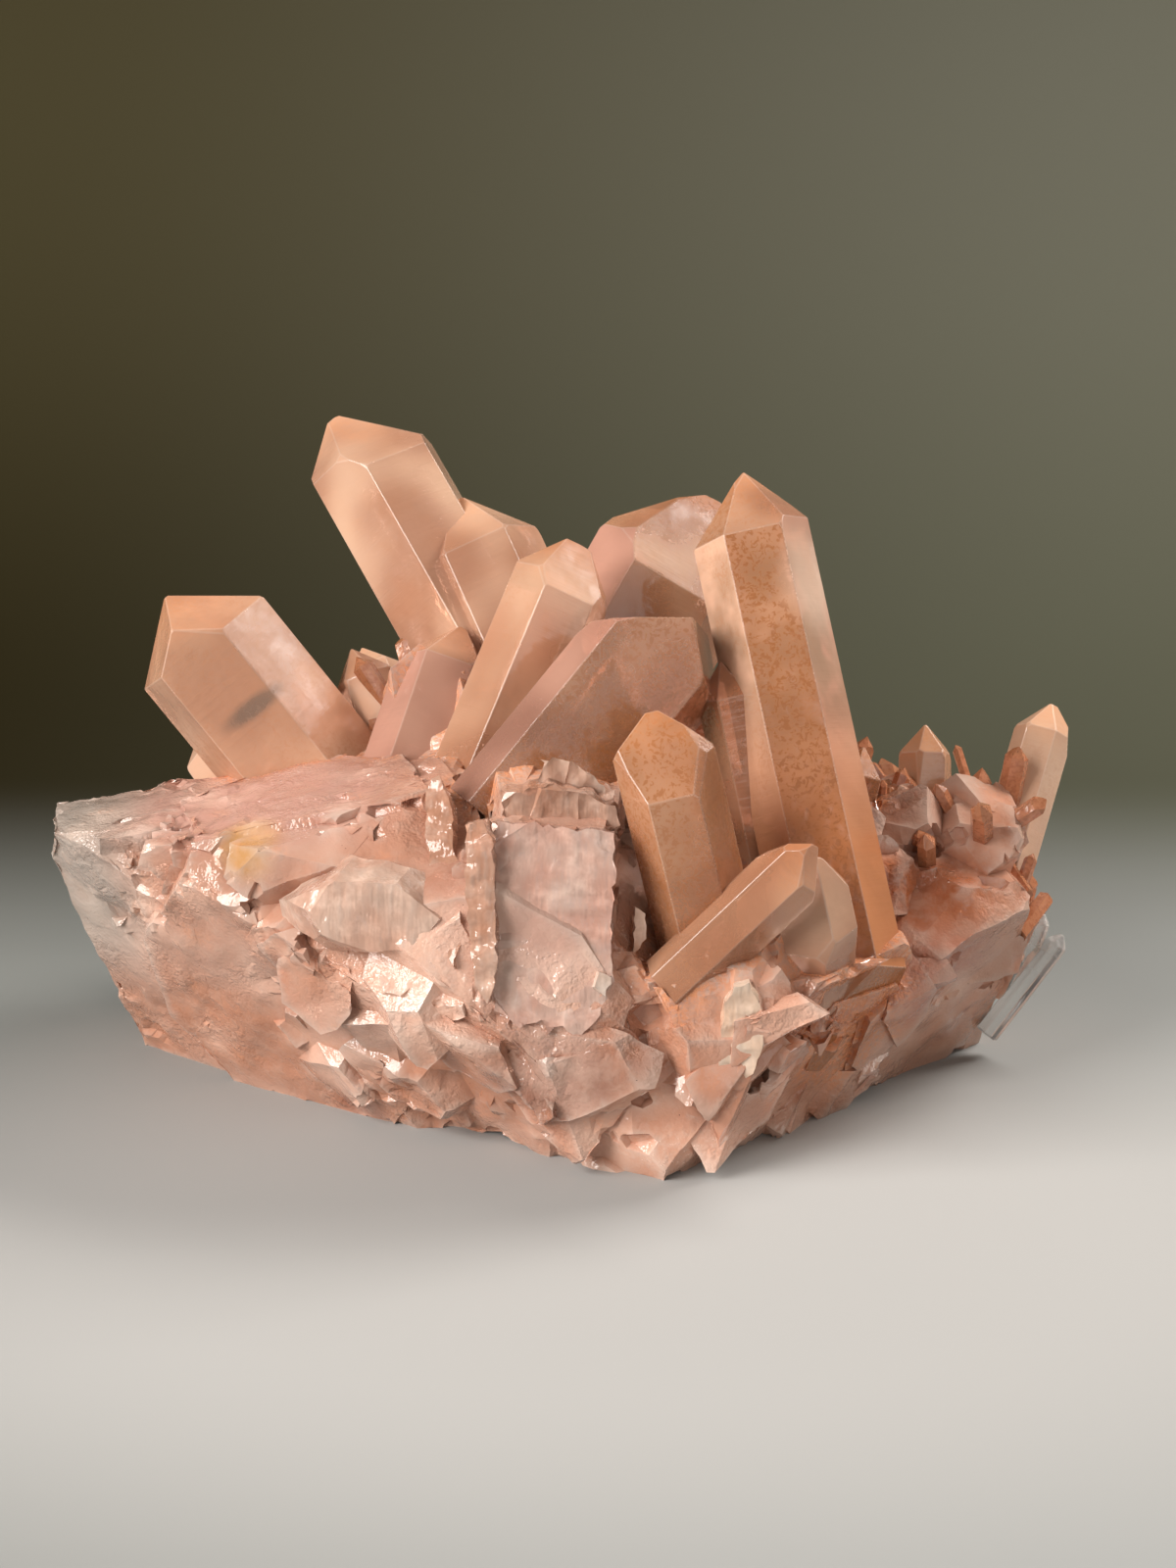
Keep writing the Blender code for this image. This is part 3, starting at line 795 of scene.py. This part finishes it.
def stained_point_material(name, milkiness, depth, clarity):
    """Quartz of a point: peach clouds and veils, iron in worm-like trails and specks on the faces that
    have it, more at the tip and the foot, and fine growth lines across the prism."""
    material, shader, place = new_material(name)
    iron, lilac, pale, smoke, foot = (attribute(place, key) for key in LOOKS)
    worn = attribute(place, "worn")
    growth = place.node("ShaderNodeUVMap", {"uv_map": "growth"}, {})
    below_tip = growth.part("Y")
    clouds = place.noise(0.09, 1, 0.5)
    veils = place.noise(0.22, 2, 0.6)
    grain = place.noise(2.0, 1, 0.7)
    worms = 1 - abs(place.noise(0.75, 2, 0.6, 1.4) - 0.5).between(0.03, 0.09)
    worms = worms * place.noise(1.5, 1, 0.6).between(0.40, 0.55)
    specks = place.noise(1.7, 1, 0.6).between(0.60, 0.68)
    patches = (veils * 1.1 + clouds * 0.6 + iron * 0.5).between(0.85, 1.35)
    colour = clouds.between(0.3, 0.75).mix(PEACH, CREAM)
    colour = (pale * 0.6).mix(colour, CREAM)
    colour = ((0.35 + veils.between(0.3, 0.8) * 0.5) * pale * 0.6).mix(colour, WHITE)
    # Lilac: the faces' own lilac where they lack the iron film, together with a painted sheen of the window
    # light on the faces that look towards it.
    colour = (lilac * 0.85).mix(colour, LILAC_AND_PAINTED_SHEEN)
    middle = below_tip.between(5, 12) * (1 - below_tip.between(20, 34)) * smoke
    colour = (middle * veils.between(0.3, 0.6) * 0.7).mix(colour, SMOKE)
    colour = (below_tip.between(18, 44) * foot * 0.8).mix(colour, OCHRE)
    stain = (worms.most(specks) * patches * iron).least(1.0)
    colour = ((0.4 + patches * 0.6) * iron * 0.6).mix(colour, OCHRE)
    colour = (stain * 0.9).mix(colour, BROWN)
    tip = (1 - (below_tip + veils * 6 - 3).between(0.0, 6.5)) * (0.3 + grain * 0.5)
    colour = (tip * 0.65).mix(colour, OCHRE)
    turned = {0: place, 1: FRACTURE_AT, 2: FRACTURE_TURN}
    band = place.node("ShaderNodeMapping", {"vector_type": "TEXTURE"}, turned)
    colour = (near(band, (0, 0, 0), FRACTURE_HALF) * 0.8).mix(colour, FRACTURE_GREY)
    # Painted glow: the right side near the tip of the tall point is lightened as if the light behind shone
    # through it.
    colour = (near(place, PAINTED_GLOW_AT, PAINTED_GLOW_HALF) * 0.7).mix(colour, PAINTED_GLOW_PEACH)
    colour = (worn * 0.15).mix(colour, WHITE)
    colour = (pale * clarity).mix(colour, CLEAR)
    rough = 0.07 + grain * 0.08 + worn * 0.10 + stain * 0.10 + veils.between(0.5, 0.8) * 0.1
    lines = growth.node("ShaderNodeMapping", {}, {0: growth, "Scale": (0.10, 1.5, 1)}).noise(1.0, 2, 0.7)
    height = lines * 0.5 + place.noise(0.6, 1, 0.6) * 0.9
    bump = place.node("ShaderNodeBump", {}, {"Strength": 1.0, "Distance": 0.07 * MM, "Height": height})
    milk = milkiness + stain * 0.35 + tip * 0.3 + clouds.between(0.35, 0.7) * 0.2 + pale * 0.35
    finish_quartz(material, shader, milk.least(0.95).most(0.0), colour, rough, bump)
    add_depth(material, depth)
    return material


stained_quartz = stained_point_material("iron stained quartz", 0.29, (0.95, 0.66, 0.48), 0.0)
clear_quartz = stained_point_material("clear quartz", -0.25, (0.97, 0.93, 0.88), 1.0)
insides = []
for name, spec in POINTS.items():
    point, inside = add_point(name, **spec)
    insides.append(inside)
    point.data.materials.append(clear_quartz if name.startswith("clear") else stained_quartz)
    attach(point, "root")
    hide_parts("quartz_cluster")


# The matrix is finished once the points are known, because iron stain gathers where they meet it.
def nearest_point(points):
    """How far each place is from the nearest point's surface, in mm."""
    nearest = np.full(len(points), 1e3)
    for inside in insides:
        outside = (points @ inside[:, :3].T - inside[:, 3]).max(1)
        nearest = np.minimum(nearest, abs(outside))
    return nearest


def add_attribute(mesh, name, kind, key, values):
    """Stores one value or colour for each of a mesh's corners."""
    layer = mesh.attributes.new(name, kind, "POINT")
    layer.data.foreach_set(key, np.ascontiguousarray(values, np.float32).ravel())


def ramp(values, low, high):
    """0 up to low, 1 from high on, and a soft step in between."""
    share = np.clip((values - low) / (high - low), 0, 1)
    return share * share * (3 - 2 * share)


def close_to(places, centre, half):
    """1 at a place on the cluster, fading to 0 at its half sizes away from it, in mm."""
    away = np.linalg.norm((places - np.array(centre)) / np.array(half), axis=1)
    return 1 - ramp(away, 0.35, 1.0)


def cloudy(places, size, seed):
    """Soft random clouds about this many mm wide, mostly from -0.5 to 0.5."""
    offset = Vector((seed, 0, 0))
    return np.array([noise.noise(Vector(place) / size + offset) for place in places])


# Places on the matrix in mm, how far each reaches, how strong it is and its colour.
TINTS = (
    ((-33, -14, 33.5), (30, 22, 6), 0.80, (0.90, 0.50, 0.41)),
    ((-53, -10, 23), (14, 22, 18), 0.85, (0.90, 0.80, 0.70)),
    ((-31, -26.5, 31), (4.5, 7, 4), 0.90, (0.84, 0.42, 0.12)),
    ((-1, -36, 25), (9, 6, 13), 0.60, (0.86, 0.54, 0.44)),
    # Painted shade: dark brown in the hollow under the slab's lower end, towards the oval.
    ((0, -38, 11), (10, 8, 8), 0.90, (0.40, 0.17, 0.11)),
    ((-11, -33, 29), (4, 9, 9), 0.60, (0.74, 0.36, 0.25)),
    ((-17, -1, 35), (4, 6, 4), 0.70, OCHRE),
    ((38, -16, 24), (12, 10, 7), 0.90, (0.62, 0.16, 0.045)),
    ((33, -7, 29), (6, 8, 4), 0.80, RUST),
    ((18, -22, 29), (6, 8, 5), 0.80, RUST),
    ((39, -20, 15), (12, 12, 7), 0.80, (0.74, 0.31, 0.21)),
    ((30, -31, 10), (16, 10, 11), 0.80, (0.76, 0.23, 0.09)),
    ((-21, -21, 1), (5, 4, 2.2), 0.95, (0.38, 0.10, 0.04)),
)
MATRIX_DEEP = (0.84, 0.38, 0.23)
MATRIX_PALE = (0.90, 0.52, 0.38)
VEIL = (0.94, 0.70, 0.57)
# The colour of the painted shade in the matrix's hollows.
HOLLOW_PAINTED_SHADE = (0.66, 0.28, 0.16)
# The clear glassy end on the left, and the two crushed white places on the front and at the foot.
CLEAR_END = ((-53, -10, 23), (14, 22, 18))
CRUSHED = (((-15, -34, 21), (13, 7, 8)), ((12, -38, 3), (14, 6, 4)))
RUST_REACH = 1.6
# What lies lower than this, in mm, is part of the flat that it rests on.
REST_DEPTH = 0.25
CREASE = math.radians(24)
shift = np.array(CENTRE_SHIFT)
finished = points + shift
clouds = ramp(cloudy(points, 14.0, 3), -0.4, 0.4)[:, None]
veils = ramp(cloudy(points, 6.0, 11), -0.1, 0.6)
tint = np.array(MATRIX_DEEP) * (1 - clouds) + np.array(MATRIX_PALE) * clouds
for centre, half, strength, colour in TINTS:
    share = close_to(finished, centre, half)[:, None] * strength
    tint = tint * (1 - share) + np.array(colour) * share
# Pale veils, then the relief: ridges are whitened, partly as chipped white edges and partly as a painted
# highlight, and hollows are darkened with painted shade.
relief = ((points - evened(points, edges, 8)) * normals_of(matrix.data)).sum(1)
for share, colour in (
    (veils * 0.35, VEIL),
    (ramp(relief, 0.08, 0.5) * 0.4, WHITE),
    (ramp(-relief, 0.1, 0.6) * 0.35, HOLLOW_PAINTED_SHADE),
):
    tint = tint * (1 - share[:, None]) + np.array(colour) * share[:, None]
contact = np.exp(-(nearest_point(points) / RUST_REACH) ** 2)
rust = np.clip(ramp(cloudy(points, 3.0, 23), 0.35, 0.7) * 0.4 + contact, 0, 1)
frost = np.maximum(*[close_to(finished, *region) for region in CRUSHED])
milk = 0.50 + veils * 0.15 + frost * 0.2 - close_to(finished, *CLEAR_END) * 0.1
hackly = ramp(cloudy(points, 7.0, 31), -0.1, 0.4)
for name, values in (("rust", rust), ("frost", frost), ("milk", milk), ("hackly", hackly)):
    add_attribute(matrix.data, name, "FLOAT", "value", values)
tint = np.concatenate([tint, np.ones((len(tint), 1))], 1)
add_attribute(matrix.data, "tint", "FLOAT_COLOR", "color", tint)
low, high = (np.array(corner) / MM - shift for corner in cad_box)
points = np.clip(points, low, high)
points[points[:, 2] < REST_DEPTH, 2] = 0
matrix.data.vertices.foreach_set("co", ((points + shift) * MM).ravel())
matrix.data.update()
matrix.data.shade_smooth()
matrix.data.set_sharp_from_angle(angle=CREASE)


MOTTLE = (0.94, 0.66, 0.52)
CRUSHED_WHITE = (0.96, 0.76, 0.64)
DARK_SPECK = (0.10, 0.035, 0.02)
material, shader, place = new_material("milky matrix")
rust, frost, milk, hackly = (attribute(place, name) for name in ("rust", "frost", "milk", "hackly"))
tint = place.node("ShaderNodeAttribute", {"attribute_name": "tint"}, {})
mottle = place.noise(0.55, 3, 0.65)
grain = place.noise(1.7, 2, 0.7)
colour = (mottle.between(0.40, 0.70) * 0.25).mix(tint, MOTTLE)
rust = rust * grain.between(0.35, 0.60)
colour = (rust * 0.75).mix(colour, OCHRE)
frost = frost * (0.3 + grain.between(0.35, 0.75) * 0.5)
colour = (frost * 0.5).mix(colour, CRUSHED_WHITE)
colour = ((1 - grain.between(0.20, 0.25)) * 0.9).mix(colour, DARK_SPECK)
height = abs(mottle - 0.5) * 3.5 * (0.4 + hackly * 0.8) + grain * 0.25
rough = 0.04 + grain * 0.08 + rust * 0.2 + frost * 0.25
bump = place.node("ShaderNodeBump", {}, {"Strength": 1.0, "Distance": 0.14 * MM, "Height": height})
milk = (milk + rust * 0.3).least(0.95)
finish_quartz(material, shader, milk, colour, rough, bump, 0.1)
matrix.data.materials.clear()
matrix.data.materials.append(material)
matrix.data.polygons.foreach_set("material_index", np.zeros(len(matrix.data.polygons), int))
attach(matrix, "root")
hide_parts("quartz_cluster")


# Broken plates and lumps on the front, left standing where the quartz broke: a clear pink slab, two
# columns beside it, two glassy lumps, a stained ledge, a ragged pale flake, a cream oval and small
# flakes. Each one grew as part of the matrix and is set into it.
PLATE_GRID = 1.2
# The plates keep this far inside the front of the box, in mm.
FRONT_MARGIN = 0.15


def broken_plate(name, outline, thickness, lean=(0, -1, 0), ragged=0.25, seed=1):
    """A plate with a ragged rim, from its front outline in mm, as thick as given towards the back."""
    rng = random.Random(seed)
    bm = bmesh.new()
    rim = []
    corners = [Vector(corner) for corner in outline]
    for a, b in zip(corners, corners[1:] + corners[:1]):
        steps = max(2, round((b - a).length / 0.7))
        for k in range(steps):
            shift = Vector([rng.uniform(-ragged, ragged) for _ in range(3)]) * (0.3 if k == 0 else 1)
            rim.append(bm.verts.new(a.lerp(b, k / steps) + shift))
    front = bm.faces.new(rim)
    bm.normal_update()
    if front.normal.dot(Vector(lean)) < 0:
        front.normal_flip()
    back = bmesh.ops.extrude_face_region(bm, geom=[front])["geom"]
    moved = [v for v in back if isinstance(v, bmesh.types.BMVert)]
    bmesh.ops.translate(bm, verts=moved, vec=-Vector(lean).normalized() * thickness)
    bmesh.ops.recalc_face_normals(bm, faces=bm.faces)
    subdivided(bm, PLATE_GRID, 2)
    bm.normal_update()
    for vert in bm.verts:
        vert.co += vert.normal * noise.noise(vert.co * 0.8 + Vector((seed, 0, 0))) * 0.35
        vert.co.y = max(vert.co.y, cad_box[0].y / MM + FRONT_MARGIN)
    bmesh.ops.scale(bm, verts=bm.verts, vec=(MM, MM, MM))
    bmesh.ops.recalc_face_normals(bm, faces=bm.faces)
    thing = gathered(bm, name)
    thing.data.set_sharp_from_angle(angle=math.radians(35))
    return thing


def glassy_chunk(name, middle, half, faces, seed):
    """A rounded lump of clear quartz with a few large flat breaks, its middle and half sizes in mm."""
    bm = broken_block(random.Random(seed), Vector(middle) - CENTRE_SHIFT, half, faces)
    subdivided(bm, 0.8)
    for vert in bm.verts:
        vert.co += vert.normal * noise.noise(vert.co / 2.6 + Vector((seed, 0, 0))) * 0.4
    bmesh.ops.translate(bm, verts=bm.verts, vec=CENTRE_SHIFT)
    bmesh.ops.scale(bm, verts=bm.verts, vec=(MM, MM, MM))
    thing = gathered(bm, name)
    thing.data.shade_smooth()
    thing.data.set_sharp_from_angle(angle=CREASE)
    return thing


def plate_material(name, main, second, milkiness):
    """Broken clear quartz: two clouded tones, pale veils, and streaks that run up and down."""
    material, shader, place = new_material(name)
    clouds = place.noise(0.16, 2, 0.6)
    veils = place.noise(0.5, 3, 0.6)
    streaks = place.node("ShaderNodeMapping", {}, {0: place, "Scale": (0.9, 0.9, 0.14)}).noise(1.0, 2, 0.65)
    colour = clouds.between(0.35, 0.65).mix(main, second)
    colour = (veils.between(0.45, 0.8) * 0.15 + streaks.between(0.45, 0.75) * 0.25).mix(colour, WHITE)
    rough = 0.04 + veils * 0.1
    height = veils + streaks * 1.5
    bump = place.node("ShaderNodeBump", {}, {"Strength": 1.0, "Distance": 0.12 * MM, "Height": height})
    milk = (milkiness + veils.between(0.4, 0.8) * 0.2).least(0.95)
    finish_quartz(material, shader, milk, colour, rough, bump)
    return material


# The outlines run round each plate's front, in mm, in the finished cluster's own frame.
SLAB = (
    (-6.1, -33.6, 35.7), (-1.1, -33.7, 35.3), (5.2, -33.9, 34.6), (5.3, -35.0, 29.9), (4.8, -36.2, 24.4),
    (5.2, -37.1, 20.7), (3.8, -37.8, 17.5), (1.9, -38.3, 15.3), (0.3, -38.1, 16.4), (-1.1, -38.3, 15.6),
    (-1.8, -37.9, 17.0), (-3.9, -38.1, 16.3), (-6.3, -37.7, 17.9), (-6.9, -36.7, 22.6), (-6.5, -35.6, 27.2),
    (-6.9, -34.8, 30.9))
STAINED_LEDGE = (
    (-5.7, -31.3, 37.6), (-1.1, -31.6, 38.8), (2.7, -31.3, 37.6), (5.6, -31.0, 35.9), (5.6, -30.5, 33.4),
    (1.7, -30.5, 33.6), (-2.1, -30.6, 34.0), (-5.4, -30.8, 35.1))
PALE_FLAKE = (
    (-1.8, -28.2, 40.4), (-0.6, -28.3, 40.7), (0.8, -28.1, 40.1), (2.4, -27.9, 39.2), (3.7, -27.4, 37.7),
    (4.6, -26.8, 35.7), (2.7, -26.7, 35.3), (0.8, -26.9, 36.1), (-1.2, -27.0, 36.4), (-2.0, -27.4, 37.7))
COLUMN_A = (
    (-13.6, -25.8, 36.7), (-12.1, -25.3, 37.9), (-11.0, -26.8, 36.3), (-10.6, -29.2, 33.2),
    (-9.7, -32.4, 29.2), (-9.3, -35.5, 25.2), (-10.3, -37.4, 22.3), (-11.5, -35.7, 24.2),
    (-12.2, -32.2, 28.6), (-13.1, -29.3, 32.2))
COLUMN_B = (
    (-9.1, -35.0, 35.6), (-7.4, -35.1, 36.1), (-6.4, -35.7, 33.9), (-6.2, -37.0, 28.1), (-6.0, -38.3, 22.1),
    (-7.0, -38.9, 19.1), (-8.2, -38.4, 20.6), (-8.8, -37.2, 25.7), (-9.1, -36.1, 30.8))
OVAL = (
    (18.2, -38.7, 21.0), (19.5, -38.6, 18.3), (19.6, -38.6, 14.7), (18.6, -38.5, 11.7), (16.5, -38.5, 9.8),
    (15.3, -38.5, 11.2), (15.5, -38.6, 15.2), (15.7, -38.6, 18.3), (16.8, -38.7, 20.5))
SMALL_FLAKES = (
    ((7.3, -33.0, 26.8), (8.2, -33.0, 26.1), (8.4, -33.0, 23.5), (7.1, -33.0, 22.1)),
    ((3.8, -38.0, 21.8), (5.1, -38.0, 21.3), (4.4, -38.0, 19.3), (3.3, -38.0, 20.3)),
)
pink = plate_material("clear pink quartz", (0.90, 0.50, 0.38), (0.96, 0.66, 0.54), 0.48)
clear = plate_material("clear quartz lump", (0.86, 0.49, 0.35), (0.91, 0.62, 0.48), 0.50)
white = plate_material("pale broken quartz", (0.86, 0.58, 0.44), (0.92, 0.74, 0.62), 0.55)
cream = plate_material("cream quartz", (0.90, 0.60, 0.42), (0.94, 0.74, 0.58), 0.6)
ochre = plate_material("stained quartz", (0.70, 0.35, 0.22), (0.84, 0.52, 0.38), 0.5)
plates = [
    (broken_plate("front_slab", SLAB, 4.0, (0, -0.97, 0.22), 0.22, 1), pink),
    (broken_plate("clear_column_a", COLUMN_A, 3.0, (-0.25, -1, 0.75), 0.2, 5), ochre),
    (broken_plate("clear_column_b", COLUMN_B, 3.0, (-0.12, -1, 0.22), 0.2, 6), ochre),
    (glassy_chunk("glassy_lobe", (-18.5, -31.5, 26.5), (7.5, 5.5, 4.4), 17, 3), clear),
    (glassy_chunk("glassy_chunk_low", (-22, -26, 19), (6, 5, 5), 14, 5), clear),
    (broken_plate("stained_ledge", STAINED_LEDGE, 5.0, (0, -1, 0.1), 0.3, 2), ochre),
    (broken_plate("pale_flake", PALE_FLAKE, 1.6, (0, -0.95, 0.3), 0.4, 3), white),
    (broken_plate("cream_oval", OVAL, 2.6, (0, -1, 0), 0.15, 4), cream),
]
for k, outline in enumerate(SMALL_FLAKES):
    plates.append((broken_plate(f"glassy_flake_{k}", outline, 1.2, (0.2, -1, 0.2), 0.15, 10 + k), white))
for plate, finish in plates:
    plate.data.materials.append(finish)
    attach(plate, "root")
    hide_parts("quartz_cluster")


# Druse: a crust of small points that grew on the unbroken parts of the matrix, round the feet of
# the large points, on the right shoulder and over the back. They are all one piece.
DRUSE_COUNT = 150
DRUSE_HALF = (0.45, 1.3)
DRUSE_LENGTH = (2.0, 5.5)
DRUSE_APART = 1.6
DRUSE_TRIES = 40000
DRUSE_BROWN = (0.66, 0.27, 0.13)
# The druse keeps this far inside the box, in mm.
BOX_MARGIN = 0.05
rng = random.Random(7)
crust = bmesh.new()
surface = normals_of(matrix.data)
where = points_of(matrix.data) / MM - shift
crowd = []
tries = 0
while len(crowd) < DRUSE_COUNT and tries < DRUSE_TRIES:
    tries += 1
    k = rng.randrange(len(where))
    at = Vector(where[k])
    facing = Vector(surface[k])
    right_shoulder = at.x > 28 and at.z > 14 and at.y > -8
    back = at.y > 12 and 7 < at.z < 30 - abs(at.x) * 0.3
    crown = at.z > 31 and at.y > 5 and at.x > -24
    if not (right_shoulder or back or crown) or facing.z < -0.1:
        continue
    if any((at - other).length < DRUSE_APART for other in crowd):
        continue
    crowd.append(at)
    size = rng.uniform(*DRUSE_HALF)
    lean = Vector((rng.uniform(-0.5, 0.5), rng.uniform(-0.5, 0.5), rng.uniform(0, 0.7)))
    way = (facing + lean).normalized()
    length = rng.uniform(*DRUSE_LENGTH) * (0.5 + 0.5 * size)
    flats = [size * rng.uniform(0.85, 1.15) for _ in range(6)]
    rises = [rng.uniform(0, size * 0.6) for _ in range(6)]
    small, axis = quartz_point(at, at + way * length, flats, rng.uniform(0, 60), rises)
    add_shape(crust, small)
for vert in crust.verts:
    vert.co = np.clip(vert.co, low + BOX_MARGIN, high - BOX_MARGIN)
bmesh.ops.translate(crust, verts=crust.verts, vec=CENTRE_SHIFT)
bmesh.ops.scale(crust, verts=crust.verts, vec=(MM, MM, MM))
druse = gathered(crust, "druse")
material, shader, place = new_material("druse quartz")
clouds = place.noise(0.12, 1, 0.6)
grain = place.noise(1.8, 1, 0.7)
colour = clouds.between(0.35, 0.65).mix(DRUSE_BROWN, PEACH)
colour = (grain.between(0.45, 0.65) * 0.5).mix(colour, RUST)
rough = 0.10 + grain * 0.15
bump = place.node("ShaderNodeBump", {}, {"Strength": 1.0, "Distance": 0.05 * MM, "Height": grain})
finish_quartz(material, shader, 0.35 + grain * 0.3, colour, rough, bump)
druse.data.materials.append(material)
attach(druse, "root")
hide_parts("quartz_cluster")


# Studio light: a broad cool window on the left, a soft top light, and a low warm one from behind
# on the right that shines through the edges of the points. A small one low on the left adds glints.
def add_lamp(name, place, aim, size, watts, colour, mirrored=True):
    data = bpy.data.lights.new(name, "AREA")
    data.shape = "RECTANGLE"
    data.size = size[0]
    data.size_y = size[1]
    data.energy = watts
    data.color = colour
    lamp = bpy.data.objects.new(name, data)
    bpy.context.scene.collection.objects.link(lamp)
    lamp.visible_glossy = mirrored
    lamp.location = place
    lamp.rotation_euler = (Vector(aim) - Vector(place)).to_track_quat("-Z", "Y").to_euler()


add_lamp("window", (-0.62, -0.38, 0.42), (0, 0, 0.03), (0.55, 0.55), 11.5, (1.0, 0.96, 0.93))
add_lamp("fill", (0.35, -0.7, 0.30), (0, 0, 0.03), (0.6, 0.5), 1.2, (1.0, 0.95, 0.92))
add_lamp("glint", (-0.55, -0.55, 0.10), (-0.02, 0, 0.02), (0.08, 0.12), 0.7, (1.0, 0.98, 0.96))
add_lamp("behind", (0.36, 0.22, 0.36), (0, 0, 0.035), (0.30, 0.30), 6.0, (1.0, 0.93, 0.88), False)

world = bpy.data.worlds.new("room")
world.use_nodes = True
world.node_tree.nodes["Background"].inputs["Color"].default_value = (0.32, 0.29, 0.26, 1)
world.node_tree.nodes["Background"].inputs["Strength"].default_value = 0.75
bpy.context.scene.world = world
bpy.context.scene.view_settings.view_transform = "Standard"
cycles = bpy.context.scene.cycles
cycles.use_denoising = True
cycles.max_bounces = 8
cycles.diffuse_bounces = 3
cycles.transmission_bounces = 7
cycles.caustics_reflective = False
cycles.caustics_refractive = False

[[list(corner) for corner in box] for box in (cad_box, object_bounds())]
